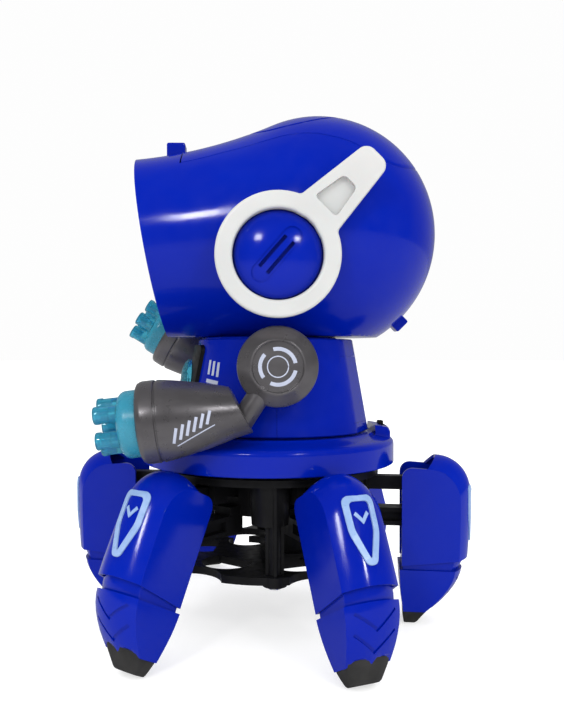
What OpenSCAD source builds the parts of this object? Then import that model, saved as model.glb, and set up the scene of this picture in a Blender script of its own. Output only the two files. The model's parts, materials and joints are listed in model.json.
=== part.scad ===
// Six-legged walking toy robot: swinging claw legs, turning body, raising arms with barrel guns.
// The face looks along -Y. The origin is on the ground, under the waist axis.

/* [Legs] */
// Distance of each leg's hinge pin from the waist axis
hinge_r = 73; // [72:0.5:75]
// Height of the hinge pins above the ground
hinge_z = 47; // [45:0.5:49]
// Swing of a leg between upright and splayed, degrees
leg_swing = 28; // [24:1:30]
// Width of a leg shell
leg_w = 23; // [21:0.5:25]
// Turn of the base under the body at rest, degrees
base_turn = -8; // [-20:1:20]
/* [Skirt and torso] */
// Radius of the skirt over the chassis
skirt_r = 57; // [54:0.5:58]
// Height of the skirt's lower edge
skirt_z = 71.5; // [71:0.5:73]
// Radius of the torso at its foot
torso_r0 = 42.5; // [41:0.5:44]
// Radius of the torso under the head
torso_r1 = 35.2; // [34:0.2:37]
/* [Arms] */
// Height of the shoulder axle
shoulder_z = 115; // [114:0.5:117]
// Distance of a forearm's centre line from the middle
arm_x = 54.5; // [54:0.5:57]
// Droop of the left arm's casing at rest, degrees
left_droop = 6.5; // [0:0.5:7]
// Lift of the right arm at rest, over the left arm, degrees
right_lift = 38; // [0:1:40]
/* [Head] */
// Radius of the round back of the head
head_r = 53.8; // [53.8:0.1:54.5]
// Radius of the hood at the face opening
hood_r = 41.6; // [41:0.1:43]
// Height of the head's centre
head_z = 173.6; // [173:0.2:175]
// Wall of the moulded shells
wall = 1.8; // [1.4:0.1:2.2]

/* [Hidden] */
$fn = 96;
eps = 0.01;
LEGS = [0:5];
SPLAYED = [1, 2, 4, 5];
BLUE = [0.02, 0.08, 0.65];
BLACK = [0.06, 0.06, 0.07];
GREY = [0.37, 0.35, 0.34];
CYAN = [0.2, 0.75, 0.9, 0.7];
STEEL = [0.75, 0.76, 0.78];
WHITE = [0.92, 0.92, 0.9];

// Leg shell, claw and foot, in the upright leg's own plane
leg_in = 60;
leg_out = 85.5;
leg_crown = 91;
leg_bottom = 26.4;
leg_top = 74.5;
panel_top = 70;
lip_x = 74;
leg_wall = 1.6;
outer_round = 15.5;
outer_round_z = 59;
crown_top = 18;
leg_inner_w = leg_w - 2 * leg_wall;
pin_r = 1.5;
pin_bore_r = 1.56;
spoke_w = 9;
push_z = 62;
claw_w = 22.4;
claw_top = 25;
foot_top = 6;
foot_in = hinge_r - hinge_z * tan(leg_swing / 2);

// Chassis levels
deck_z = 66.5;
deck_t = 3;
base_z = 27;
base_t = 3.2;
post_r = 44;
post_turn = 10;
barrel_turn = 7.5;
box_r = 27;
box_z = 50;
rod_w = 6;
rod_z0 = 59;
rod_z1 = 65;
rod_in = 30;
rod_travel = 7.2;

// Gear train: motor pinion, compound reduction gear and crank gear
gear_m = 0.6;
crank_teeth = 40;
small_teeth = 10;
large_teeth = 30;
pinion_teeth = 10;
reduction_axis = [0, gear_m * (crank_teeth + small_teeth) / 2];
pinion_dir = -20;
pinion_dist = gear_m * (large_teeth + pinion_teeth) / 2;
pinion_axis = reduction_axis + pinion_dist * [cos(pinion_dir), sin(pinion_dir)];
large_z = 52.6;
small_z = 55;
gear_t = 2.2;
cam_z = 57.7;

// Waist, torso and neck
waist_z = 85.5;
hub_r = 12;
fit_gap = 0.06;
wire_y = -6;
wire_r = 1.9;
torso_y = 3;
torso_top = 126.6;
neck_r = 13;
axle_r = 4;
disc_r = 16.2;
disc_x0 = 43.5;
disc_x1 = 57.2;
disc_y = 2.5;
door_w = 50;
door_z0 = 90;
door_z1 = 119;
CELL_AXES = [[24, 95.3], [20, 112], [9, 101.5]];

// Head
head_y = 21.7;
head_tilt = 5;
head_bottom = 127.6;
hood_len = 92;
join_t = 16;
join_r = sqrt(head_r * head_r - join_t * join_t);
join_a = atan(join_t / join_r);
hollow_r = (join_r - hood_r) / (cos(1.7) - cos(join_a));
face_y = -58.2;
face_z = 200;
face_tilt = 10;
visor_drop = -31;
ear_y = 2.5;
ear_z = 158.6;
ring_r = 24.6;
ring_in = 17.8;
ring_x0 = 53.9;
ring_x1 = 59.9;
seam = 0.3;

function is_splayed(k) = len(search(k, SPLAYED)) > 0;
function turn_of(k) = 60 * k - 90 + base_turn;

// ---------- helpers ----------

// Turns a part of the base with the base.
module on_base() {
  rotate([0, 0, base_turn]) children();
}

// Moves a leg part from the upright leg's plane to leg k, at its rest swing.
module on_leg(k) {
  rotate([0, 0, turn_of(k)])
    translate([hinge_r, 0, hinge_z])
      rotate([0, is_splayed(k) ? -leg_swing : 0, 0])
        translate([-hinge_r, 0, -hinge_z]) children();
}

// Extrudes an outline drawn in the X-Z plane to a width along Y, centred.
module across(width) {
  rotate([90, 0, 0]) translate([0, 0, -width / 2]) linear_extrude(width) children();
}

// Cylinder along X from x0 to x1.
module bar_x(r, x0, x1, y = 0, z = 0) {
  translate([x0, y, z]) rotate([0, 90, 0]) cylinder(r = r, h = x1 - x0);
}

// Cylinder along Y, centred.
module bar_y(r, width, x = 0, z = 0) {
  translate([x, width / 2, z]) rotate([90, 0, 0]) cylinder(r = r, h = width);
}

// Spur gear with straight-flanked teeth and room for backlash.
module gear(teeth, thick, bore) {
  pitch_r = gear_m * teeth / 2;
  tip = pitch_r + 0.8 * gear_m;
  root = pitch_r - 1.1 * gear_m;
  step = 360 / teeth;
  linear_extrude(thick) difference() {
    polygon([for (i = [0:teeth - 1]) for (p = [[-0.29, root], [-0.11, tip], [0.11, tip], [0.29, root]])
      p[1] * [cos((i + p[0]) * step), sin((i + p[0]) * step)]]);
    circle(r = bore);
  }
}

// ---------- legs ----------

// Side outline of a leg shell: a small corner inside, a large one outside.
module leg_side() {
  difference() {
    union() {
      translate([leg_in, leg_bottom]) square([leg_crown - leg_in, outer_round_z - leg_bottom]);
      translate([leg_crown - outer_round, outer_round_z]) circle(r = outer_round);
      translate([leg_in + 5, leg_bottom]) square([12, panel_top - leg_bottom]);
      translate([leg_in + 5, panel_top - 5]) circle(r = 5);
      translate([leg_in, leg_bottom]) square([12, panel_top - leg_bottom - 5]);
    }
    translate([leg_crown, leg_bottom - 1]) rotate(5) square([10, 20]);
    polygon([[leg_in - 1, 0], [leg_crown + 1, 0], [leg_crown + 1, leg_bottom + 3.6],
             [leg_in - 1, leg_bottom]]);
  }
}

// Plan outline: flat sides and a crowned outer face.
module leg_plan(width, crown) {
  rise = crown - (leg_out - 0.5);
  round_r = (width * width / 4 + rise * rise) / (2 * rise);
  intersection() {
    translate([leg_in - 5, -width / 2]) square([crown - leg_in + 6, width]);
    union() {
      translate([leg_in - 5, -width / 2]) square([leg_out - leg_in + 4, width]);
      translate([crown - round_r, 0]) circle(r = round_r);
    }
  }
}

// Outside of a leg shell, crowned at its face and its top.
module leg_block() {
  intersection() {
    across(leg_w) leg_side();
    linear_extrude(100) leg_plan(leg_w, leg_crown);
    rotate([90, 0, 90]) linear_extrude(100) union() {
      translate([0, leg_top - crown_top]) circle(r = crown_top);
      translate([-leg_w / 2, 0]) square([leg_w, leg_top - crown_top]);
    }
  }
}

module leg_shell(k) {
  color(BLUE) on_leg(k) difference() {
    union() {
      difference() {
        leg_block();
        translate([leg_in - 1, -leg_inner_w / 2, leg_bottom - 1])
          cube([leg_out - leg_wall - leg_in + 1, leg_inner_w, panel_top - leg_bottom - 1.5]);
        translate([leg_in - 1, -leg_inner_w / 2, leg_bottom]) cube([lip_x - leg_in + 1, leg_inner_w, 60]);
        translate([leg_in - 1, -5.5, leg_bottom - 1])
          cube([leg_out - leg_wall - leg_in + 1, 11, leg_top - leg_bottom - 0.6]);
        translate([leg_in, -5, leg_bottom - 1])
          cube([leg_crown - leg_wall - leg_in - 1.5, 10, outer_round_z - leg_bottom + 1]);
      }
      for (s = [-1, 1]) hinge_boss(s, 4, hinge_r, hinge_z);
      bar_y(pin_r, leg_inner_w + eps, hinge_r, push_z);
    }
    bar_y(pin_bore_r, leg_w + 2, hinge_r, hinge_z);
  }
}

// Hinge boss on the inside of one cheek.
module hinge_boss(s, r, x, z) {
  y0 = spoke_w / 2 + 0.5;
  len = leg_inner_w / 2 - y0 + eps;
  translate([0, s * (y0 + len / 2), 0]) bar_y(r, len, x, z);
}

// Slice of a claw, crowned at its outer end.
module claw_slice(x0, x1, width, z) {
  crown = 0.16 * width;
  translate([0, 0, z]) linear_extrude(eps)
    polygon([[x0, -width / 2], [x1 - crown, -width / 2], [x1 - crown / 4, -width / 4], [x1, 0],
             [x1 - crown / 4, width / 4], [x1 - crown, width / 2], [x0, width / 2]]);
}

module claw(k) {
  color(BLUE) on_leg(k) union() {
    hull() {
      claw_slice(59.2, 87, claw_w, claw_top - eps);
      claw_slice(59.4, 84.4, claw_w - 0.8, 18);
      claw_slice(60, 79.4, claw_w - 2.2, 11);
      claw_slice(60.8, 72.6, claw_w - 4.2, foot_top);
    }
    translate([62, -leg_inner_w / 2, claw_top - 0.5]) cube([20, leg_inner_w, 9]);
  }
}

module foot(k) {
  color(BLACK) on_leg(k) hull() {
    claw_slice(61, 72, claw_w - 5.2, foot_top - eps);
    claw_slice(60.9, 70.6, claw_w - 6.4, 3);
    claw_slice(foot_in, 68, claw_w - 10, 0);
  }
}

// Push rod from the cam to the pin in the leg's head. It slides out and in.
module push_rod(k) {
  pull = is_splayed(k) ? -rod_travel : 0;
  end_x = hinge_r + 4.5;
  color(BLACK) rotate([0, 0, turn_of(k)]) translate([pull, 0, 0]) difference() {
    union() {
      translate([rod_in, -rod_w / 2, rod_z0]) cube([end_x - rod_in - 4, rod_w, rod_z1 - rod_z0]);
      translate([end_x - 9, -4, 56]) cube([9, 8, 10]);
      translate([rod_in + 2.5, 0, rod_z0 - 0.6]) cylinder(r = 1.8, h = 2);
    }
    translate([hinge_r - 1.95, -5, 58.2]) cube([3.9, 10, 5.8]);
  }
}

// ---------- base ----------

module fluted_post(z0, z1) {
  translate([0, 0, z0]) cylinder(r = 2.6, h = z1 - z0);
  for (a = [0:90:270]) rotate([0, 0, a]) translate([2, -0.6, z0]) cube([1.8, 1.2, z1 - z0]);
}

module spoke() {
  difference() {
    union() {
      translate([box_r - 2, -spoke_w / 2, hinge_z - 4]) cube([hinge_r - box_r + 2, spoke_w, 8]);
      translate([box_r - 2, -spoke_w / 2, hinge_z - 4]) cube([8, spoke_w, 11.5]);
      bar_y(5, spoke_w, hinge_r, hinge_z);
    }
    bar_y(pin_r, spoke_w + 2, hinge_r, hinge_z);
    for (s = [-1, 1]) translate([box_r + 9, s * 3.6 - 1.8, hinge_z - 2]) cube([28, 3.6, 4]);
  }
}

module chassis_frame() {
  color(BLACK) on_base() difference() {
    union() {
      translate([0, 0, deck_z]) cylinder(r = 50, h = deck_t);
      translate([0, 0, box_z]) cylinder(r = box_r, h = deck_z - box_z + eps);
      for (k = LEGS) rotate([0, 0, 60 * k - 90]) {
        spoke();
        for (s = [-1, 1]) translate([38, s * 5.2 - 1.6, 58]) cube([8, 3.2, deck_z - 58 + eps]);
      }
      for (k = LEGS) rotate([0, 0, 60 * k - 60 + post_turn]) translate([post_r, 0, 0])
        fluted_post(base_z + base_t, deck_z + eps);
      rotate([0, 0, barrel_turn]) translate([39, 0, box_z]) cylinder(r1 = 7.6, r2 = 8.6, h = deck_z - box_z + eps);
    }
    translate([0, 0, box_z + 2]) cylinder(r = box_r - 1.8, h = deck_z - box_z - 2);
    for (k = LEGS) rotate([0, 0, 60 * k - 90]) translate([box_r - 4, -rod_w / 2 - 0.5, rod_z0 - 1])
      cube([6, rod_w + 1, rod_z1 - rod_z0 + 1.6]);
    translate([0, 0, box_z - 1]) cylinder(r = 2 + fit_gap, h = 30);
    translate([reduction_axis[0], reduction_axis[1], box_z - 1]) cylinder(r = 1.5 + fit_gap, h = 4);
    translate([pinion_axis[0], pinion_axis[1], box_z - 1]) cylinder(r = 5, h = 4);
    translate([0, wire_y, deck_z - 1]) cylinder(r = wire_r, h = 6);
  }
}

module base_plate() {
  color(BLACK) on_base() difference() {
    union() {
      translate([0, 0, base_z]) cylinder(r = 48, h = base_t);
      for (k = LEGS) rotate([0, 0, 60 * k - 60 + post_turn]) translate([post_r, 0, base_z - 1])
        cylinder(r = 5, h = base_t + 1);
      translate([pinion_axis[0], pinion_axis[1], base_z]) cylinder(r = 13.5, h = 7);
    }
    for (k = LEGS) rotate([0, 0, 60 * k - 90]) difference() {
      translate([30, 0, base_z - 2]) cylinder(r = 11, h = 8);
      translate([24.5, -12, base_z - 3]) mirror([1, 0, 0]) cube([20, 24, 10]);
    }
    for (k = LEGS) rotate([0, 0, 60 * k - 90]) translate([57, 0, base_z - 2]) cylinder(r = 15, h = 8);
    translate([pinion_axis[0], pinion_axis[1], base_z + base_t]) motor_can(0.2);
    translate([-12, -12, base_z - 1]) cylinder(r = 9, h = 8);
  }
}

module motor_can(grow = 0) {
  intersection() {
    cylinder(r = 10 + grow, h = box_z - base_z - base_t);
    translate([-7.6 - grow, -11, -1]) cube([15.2 + 2 * grow, 22, 40]);
  }
}

module drive_motor() {
  color(STEEL) on_base() union() {
    translate([pinion_axis[0], pinion_axis[1], base_z + base_t]) motor_can();
    translate([pinion_axis[0], pinion_axis[1], box_z - eps]) cylinder(r = 1, h = 5);
  }
}

module motor_pinion() {
  color(WHITE) on_base() translate([pinion_axis[0], pinion_axis[1], large_z - 0.3])
    rotate([0, 0, pinion_dir + 180 + 180 / pinion_teeth]) gear(pinion_teeth, gear_t, 1 + fit_gap);
}

module reduction_gear() {
  color(WHITE) on_base() translate([reduction_axis[0], reduction_axis[1], 0]) union() {
    translate([0, 0, large_z]) rotate([0, 0, pinion_dir]) gear(large_teeth, 1.6, 1);
    translate([0, 0, small_z - 1]) rotate([0, 0, -90 + 180 / small_teeth]) gear(small_teeth, gear_t + 1, 1);
    translate([0, 0, box_z + 0.2]) cylinder(r = 1.5, h = 6);
  }
}

module crank_gear() {
  color(WHITE) on_base() union() {
    translate([0, 0, small_z]) rotate([0, 0, 90]) gear(crank_teeth, gear_t, 1.5);
    translate([0, 0, box_z + 0.2]) cylinder(r = 2, h = deck_z - box_z + 1.5);
  }
}

// Two-lobed cam that pushes the rods.
module cam_plate() {
  color(WHITE) on_base() difference() {
    translate([0, 0, cam_z]) linear_extrude(rod_z1 - cam_z - 1) union() {
      circle(r = 15);
      intersection() {
        translate([0, -12]) circle(r = 26);
        translate([0, 12]) circle(r = 26);
        circle(r = 21.5);
      }
    }
    cylinder(r = 2, h = 100);
    for (s = [-1, 1]) translate([s * 10, 0, 0]) cylinder(r = 3.5, h = 100);
  }
}

module leg_pins() {
  color(STEEL) for (k = LEGS) rotate([0, 0, turn_of(k)]) bar_y(pin_r, leg_w - 1, hinge_r, hinge_z);
}

module base_screws() {
  color(STEEL) on_base() for (k = LEGS) rotate([0, 0, 60 * k - 60 + post_turn])
    translate([post_r, 0, base_z - 2.2]) union() {
      cylinder(r = 2.6, h = 1.2);
      cylinder(r = 1.2, h = base_t + 7);
    }
}

module skirt() {
  t = 2;
  color(BLUE) on_base() difference() {
    union() {
      rotate_extrude() polygon([
        [skirt_r - t, skirt_z], [skirt_r, skirt_z], [skirt_r, 80], [skirt_r - 0.8, 82],
        [skirt_r - 2.6, 83.2], [48.5, 84], [47.5, waist_z - 0.5], [hub_r + fit_gap, waist_z - 0.5],
        [hub_r + fit_gap, waist_z - 2.5], [46, waist_z - 2.5], [skirt_r - 3, 81.2], [skirt_r - t, 79]]);
      intersection() {
        rotate_extrude() polygon([[48.6, 82], [55.5, 82], [55.5, 85], [54, 87], [48.6, 88.2]]);
        rotate([0, 0, 90 - base_turn]) translate([30, -13, 0]) cube([40, 26, 100]);
      }
    }
    rotate([0, 0, 90 - base_turn]) translate([50.5, -6, 84]) cube([3, 12, 8]);
  }
}

// Hub that the torso turns on, and the posts that carry the skirt.
module waist_post() {
  foot_z = deck_z + deck_t;
  color(BLACK) on_base() difference() {
    union() {
      translate([0, 0, foot_z]) cylinder(r = hub_r, h = waist_z + 7.5 - foot_z);
      for (k = LEGS) rotate([0, 0, 60 * k - 60]) translate([post_r - 2, 0, foot_z])
        cylinder(r = 3.5, h = waist_z - 2.5 - foot_z);
    }
    translate([0, wire_y, foot_z - 1]) cylinder(r = wire_r, h = 40);
  }
}

// Knob of the slide switch on the back of the skirt.
module power_switch() {
  color(BLACK) translate([-5.4, 50.8, 84.3]) cube([4.8, 2.4, 4.7]);
}

// ---------- torso ----------

module torso_cone(grow) {
  slope = (torso_r0 - torso_r1) / (torso_top - waist_z);
  translate([0, torso_y, waist_z - 5])
    cylinder(r1 = torso_r0 + grow + 5 * slope, r2 = torso_r1 + grow - 5 * slope, h = torso_top - waist_z + 10);
}

module torso_shell() {
  difference() {
    union() {
      intersection() {
        torso_cone(0);
        translate([-60, -60, waist_z]) cube([120, 120, torso_top - waist_z]);
      }
      for (s = [-1, 1]) bar_x(11, s > 0 ? 30 : -42.8, s > 0 ? 42.8 : -30, disc_y, shoulder_z);
      translate([0, 0, torso_top - 1]) cylinder(r = neck_r, h = 8);
    }
    intersection() {
      torso_cone(-wall);
      translate([-60, -60, waist_z + 2.2]) cube([120, 120, torso_top - waist_z - 4.4]);
    }
    translate([0, 0, waist_z - 1]) cylinder(r = hub_r + fit_gap, h = 10);
    translate([0, 0, torso_top - 5]) cylinder(r = neck_r - 3, h = 20);
    for (s = [-1, 1]) bar_x(axle_r + fit_gap, s > 0 ? 20 : -50, s > 0 ? 50 : -20, disc_y, shoulder_z);
  }
}

module torso_front() {
  color(BLUE) difference() {
    intersection() {
      torso_shell();
      translate([-60, -80 + disc_y, 0]) cube([120, 80, 200]);
    }
    translate([0, -20, 105]) rotate([90, 0, 0]) cylinder(r = 12.8, h = 30);
  }
}

module door_block(grow) {
  translate([-door_w / 2 - grow, 25, door_z0 - grow])
    cube([door_w + 2 * grow, 40, door_z1 - door_z0 + 2 * grow]);
}

module torso_rear() {
  color(BLUE) difference() {
    intersection() {
      torso_shell();
      translate([-60, disc_y, 0]) cube([120, 80, 200]);
    }
    door_block(seam);
  }
}

module battery_door() {
  color(BLUE) difference() {
    intersection() {
      torso_cone(0);
      door_block(0);
    }
    torso_cone(-wall);
    translate([0, 30, door_z1 - 5]) rotate([-90, 0, 0]) cylinder(r = 1.6, h = 30);
  }
}

// Three cells, stacked behind the circuit board.
module battery_cells() {
  color(STEEL) for (c = CELL_AXES) union() {
    bar_x(7.1, -24.6, 24.6, c[0], c[1]);
    bar_x(2.7, 24.5, 25.4, c[0], c[1]);
  }
}

module battery_contacts() {
  color(STEEL) for (x = [-25.2, 25.4]) translate([x, 5, 90]) cube([0.6, 20, 27]);
}

module chest_bezel() {
  color(BLACK) difference() {
    intersection() {
      difference() {
        torso_cone(1.6);
        torso_cone(0);
      }
      translate([0, 0, 107]) rotate([90, 0, 0]) linear_extrude(80) union() {
        square([30, 34], center = true);
        square([36, 28], center = true);
        for (x = [-15, 15]) for (y = [-14, 14]) translate([x, y]) circle(r = 3);
      }
    }
    translate([0, -20, 105]) rotate([90, 0, 0]) cylinder(r = 12.8, h = 30);
  }
}

module chest_lens() {
  color(CYAN) intersection() {
    translate([0, -10, 105]) sphere(r = 31);
    translate([0, -33, 105]) rotate([90, 0, 0]) cylinder(r = 12.5, h = 12);
  }
}

module speaker() {
  color(BLACK) translate([0, -22.5, waist_z + 2.2]) union() {
    cylinder(r1 = 5, r2 = 9, h = 4);
    translate([0, 0, 4]) cylinder(r = 9.5, h = 1.5);
  }
}

module circuit_board() {
  color([0.05, 0.35, 0.15]) union() {
    translate([-22, -1.6, 94]) cube([44, 1.6, 26]);
    translate([-12, -3.4, 100]) cube([9, 1.9, 9]);
    translate([4, -5.6, 98]) cube([6, 4.1, 12]);
  }
}

// ---------- arms ----------

// Round neck from the shoulder disc down into the casing.
module shoulder_neck(grow = 0) {
  translate([arm_x - 4, disc_y, shoulder_z]) rotate([-33, 0, 0]) translate([0, 0, -27 - grow])
    cylinder(r = 4.6 + grow, h = 20 + grow);
}

// Left shoulder: disc, axle and the neck down to the casing, at the left arm's rest.
module shoulder_solid() {
  difference() {
    union() {
      bar_x(disc_r, disc_x0, disc_x1 - 3, disc_y, shoulder_z);
      translate([disc_x1 - 3 - eps, disc_y, shoulder_z]) rotate([0, 90, 0])
        cylinder(r1 = disc_r, r2 = disc_r - 4, h = 3);
      bar_x(axle_r, 28, disc_x0 + 1, disc_y, shoulder_z);
      shoulder_neck();
    }
    bar_x(disc_r - 5, disc_x1 - 0.9, disc_x1 + 1, disc_y, shoulder_z);
  }
}

// Places children, drawn along -Y from the casing's front rim, on the left forearm.
module on_forearm() {
  translate([arm_x, -51, 93]) rotate([left_droop, 0, 0]) children();
}

module casing_solid() {
  difference() {
    intersection() {
      on_forearm() rotate([-90, 0, 0]) rotate_extrude() polygon([
        [0, 0], [15, 0], [15.9, 0.9], [16.2, 2], [16.2, 7], [15.6, 7.2], [15.6, 7.8], [16.1, 8],
        [13.8, 20], [10, 36], [8, 46], [0, 46]]);
      translate([0, -10.5, 95.5]) rotate([28.3, 0, 0]) translate([0, -100, -50]) cube([120, 100, 100]);
    }
    shoulder_neck(fit_gap);
  }
}

module gun_solid() {
  on_forearm() rotate([90, 0, 0]) union() {
    rotate_extrude() polygon([[0, 0], [13.2, 0], [13.2, 4.5], [12.2, 6.8], [10.2, 8.2], [0, 8.6]]);
    for (i = [0:4]) rotate([0, 0, 38 + 72 * i]) translate([8.3, 0, 7]) difference() {
      cylinder(r = 3.5, h = 9.5);
      translate([0, 0, 4]) cylinder(r = 2.2, h = 10);
    }
  }
}

// Mirrors the left arm to the right side and lifts it.
module right_arm() {
  translate([0, disc_y, shoulder_z]) rotate([-right_lift, 0, 0]) translate([0, -disc_y, -shoulder_z])
    mirror([1, 0, 0]) children();
}

module shoulder_left() { color(GREY) shoulder_solid(); }
module shoulder_right() { color(GREY) right_arm() shoulder_solid(); }
module forearm_left() { color(GREY) casing_solid(); }
module forearm_right() { color(GREY) right_arm() casing_solid(); }
module gun_left() { color(CYAN) gun_solid(); }
module gun_right() { color(CYAN) right_arm() gun_solid(); }

// ---------- head ----------

// Half outline of the head about its own axis: a round back, then one hollow arc to the hood.
function head_outline(d) = concat(
  [for (a = [0:4:90 + join_a - 1]) (head_r - d) * [sin(a), -cos(a)]],
  [for (a = [join_a:-1.7:1.7]) [join_r - hollow_r * (cos(a) - cos(join_a)) - d,
    join_t + hollow_r * (sin(join_a) - sin(a))]],
  [[hood_r - d, hood_len], [0, hood_len]]);

module head_round(d) {
  translate([0, head_y, head_z]) rotate([90 + head_tilt, 0, 0])
    rotate_extrude() polygon(head_outline(d));
}

// Keeps what is behind the slanted face opening and above the flat underside.
module head_cut(d = 0) {
  intersection() {
    children();
    translate([0, face_y + d, face_z]) rotate([face_tilt, 0, 0]) translate([-100, 0, -120])
      cube([200, 200, 200]);
    translate([-100, -100, head_bottom + d]) cube([200, 200, 200]);
  }
}

module ear_pods() {
  for (s = [-1, 1]) bar_x(23, s > 0 ? 38 : -ring_x0, s > 0 ? ring_x0 : -38, ear_y, ear_z);
}

module head_shell() {
  difference() {
    union() {
      head_cut() head_round(0);
      ear_pods();
      translate([-4, -47, 209]) cube([8, 9, 7.4]);
      translate([-4, 59.2, 134.8]) rotate([45, 0, 0]) translate([0, -3, -3]) cube([8, 6.5, 6.5]);
    }
    difference() {
      head_cut(wall) head_round(wall);
    }
    head_mouth();
    translate([0, 0, head_bottom - 5]) cylinder(r = neck_r + fit_gap, h = 10);
  }
}

// Opens the hood at the face.
module head_mouth() {
  intersection() {
    head_round(wall);
    translate([0, face_y - 5, face_z]) rotate([face_tilt, 0, 0]) translate([-100, -10, -120])
      cube([200, 40, 200]);
    translate([-100, -100, head_bottom + wall]) cube([200, 200, 200]);
  }
}

// Plan of the crown panel.
module crown_plan(d = 0) {
  translate([0, 0, 185]) linear_extrude(80) union() {
    polygon([[-25 - d, -38 - d], [25 + d, -38 - d], [35 + d, -8], [41 + d, 24], [41 + d, 36],
             [-41 - d, 36], [-41 - d, 24], [-35 - d, -8]]);
    translate([0, 24]) intersection() {
      circle(r = 41 + d);
      translate([-60, 0]) square(120);
    }
  }
}

module head_half(s) {
  difference() {
    intersection() {
      head_shell();
      translate([s > 0 ? 0 : -100, -100, 0]) cube([100, 200, 300]);
    }
    intersection() {
      crown_plan(seam);
      translate([-100, -100, 0]) cube([200, 200, 300]);
    }
  }
}

module head_left() { color(BLUE) head_half(1); }
module head_right() { color(BLUE) head_half(-1); }

module head_top() {
  color(BLUE) difference() {
    intersection() {
      head_shell();
      crown_plan();
    }
    for (s = [-1, 1]) translate([s * 12 - 1.5, -8, 200]) cube([3, 41, 60]);
    translate([-8, 46, 200]) cube([16, 4, 60]);
  }
}

module visor_bezel() {
  color(BLACK) intersection() {
    head_round(wall + 0.05);
    translate([0, face_y + 9, face_z]) rotate([face_tilt, 0, 0]) difference() {
      translate([-100, 0, -120]) cube([200, 4, 200]);
      translate([0, -1, visor_drop]) rotate([-90, 0, 0]) cylinder(r = 33, h = 6);
    }
    translate([-100, -100, head_bottom + wall + 0.1]) cube([200, 200, 200]);
  }
}

module visor() {
  color([0.03, 0.03, 0.05]) translate([0, face_y + 9, face_z]) rotate([face_tilt, 0, 0])
    intersection() {
      translate([0, 60, visor_drop]) sphere(r = 66);
      translate([0, -10, visor_drop]) rotate([-90, 0, 0]) cylinder(r = 32.9, h = 13.5);
    }
}

module eye_lights() {
  color(CYAN) translate([0, face_y + 9, face_z]) rotate([face_tilt, 0, 0])
    for (s = [-1, 1]) translate([s * 14, 3.6, visor_drop + 4]) rotate([-90, 0, 0]) cylinder(r = 6.5, h = 3);
}

// Domed caps inside the headset rings, each with two slots.
module ear_caps() {
  color(BLUE) for (s = [-1, 1]) difference() {
    translate([s * ring_x0, ear_y, ear_z]) rotate([0, s * 90, 0]) rotate_extrude() polygon(concat(
      [[0, 0], [17.4, 0]],
      [for (a = [27:-3:0]) [38.3 * sin(a), 2 + 38.3 * (cos(a) - cos(27))]]));
    for (t = [-3.2, 3.2]) translate([s * (ring_x0 + 5), ear_y, ear_z]) rotate([45, 0, 0])
      translate([-1.3, -7.5, t - 1]) cube([2.6, 15, 2]);
  }
}

// Headset ring with its tapered antenna bar, which points up and back.
module headset_solid() {
  translate([ring_x0, ear_y, ear_z]) rotate([0, 90, 0]) linear_extrude(ring_x1 - ring_x0)
    difference() {
      union() {
        circle(r = ring_r);
        rotate(135)
          polygon(concat([[17, 11.5], [17, -11.5]],
            [for (a = [-85:17:0]) [50.4, -2] + 4.6 * [cos(a), sin(a)]],
            [for (a = [0:17:85]) [50.4, 2] + 4.6 * [cos(a), sin(a)]]));
      }
      circle(r = ring_in);
    }
}

module headset_left() {
  color(WHITE) difference() {
    headset_solid();
    translate([ring_x1 - 2, ear_y, ear_z]) rotate([0, 90, 0]) rotate(135) linear_extrude(5)
      polygon([[27, -6], [27, 6], [40, 3.6], [40, -3.6]]);
  }
}

module headset_right() {
  mirror([1, 0, 0]) headset_left();
}

leg_shell(0);  // leg_shell_1
leg_shell(1);  // leg_shell_2
leg_shell(2);  // leg_shell_3
leg_shell(3);  // leg_shell_4
leg_shell(4);  // leg_shell_5
leg_shell(5);  // leg_shell_6
claw(0);  // claw_1
claw(1);  // claw_2
claw(2);  // claw_3
claw(3);  // claw_4
claw(4);  // claw_5
claw(5);  // claw_6
foot(0);  // foot_1
foot(1);  // foot_2
foot(2);  // foot_3
foot(3);  // foot_4
foot(4);  // foot_5
foot(5);  // foot_6
push_rod(0);  // push_rod_1
push_rod(1);  // push_rod_2
push_rod(2);  // push_rod_3
push_rod(3);  // push_rod_4
push_rod(4);  // push_rod_5
push_rod(5);  // push_rod_6
chassis_frame();
base_plate();
leg_pins();
base_screws();
drive_motor();
motor_pinion();
reduction_gear();
crank_gear();
cam_plate();
skirt();
waist_post();
power_switch();
torso_front();
torso_rear();
battery_door();
battery_cells();
battery_contacts();
chest_bezel();
chest_lens();
speaker();
circuit_board();
shoulder_left();
shoulder_right();
forearm_left();
forearm_right();
gun_left();
gun_right();
head_left();
head_right();
head_top();
visor_bezel();
visor();
eye_lights();
ear_caps();
headset_left();
headset_right();
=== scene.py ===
"""Looks of a six-legged walking toy robot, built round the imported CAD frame: metres, +Z up, face along -Y.
Measures of the pieces are in millimetres."""
import json
from math import asin, atan2, cos, degrees, pi, radians, sin, sqrt

import bmesh
import bpy
from mathutils import Matrix, Vector


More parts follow.
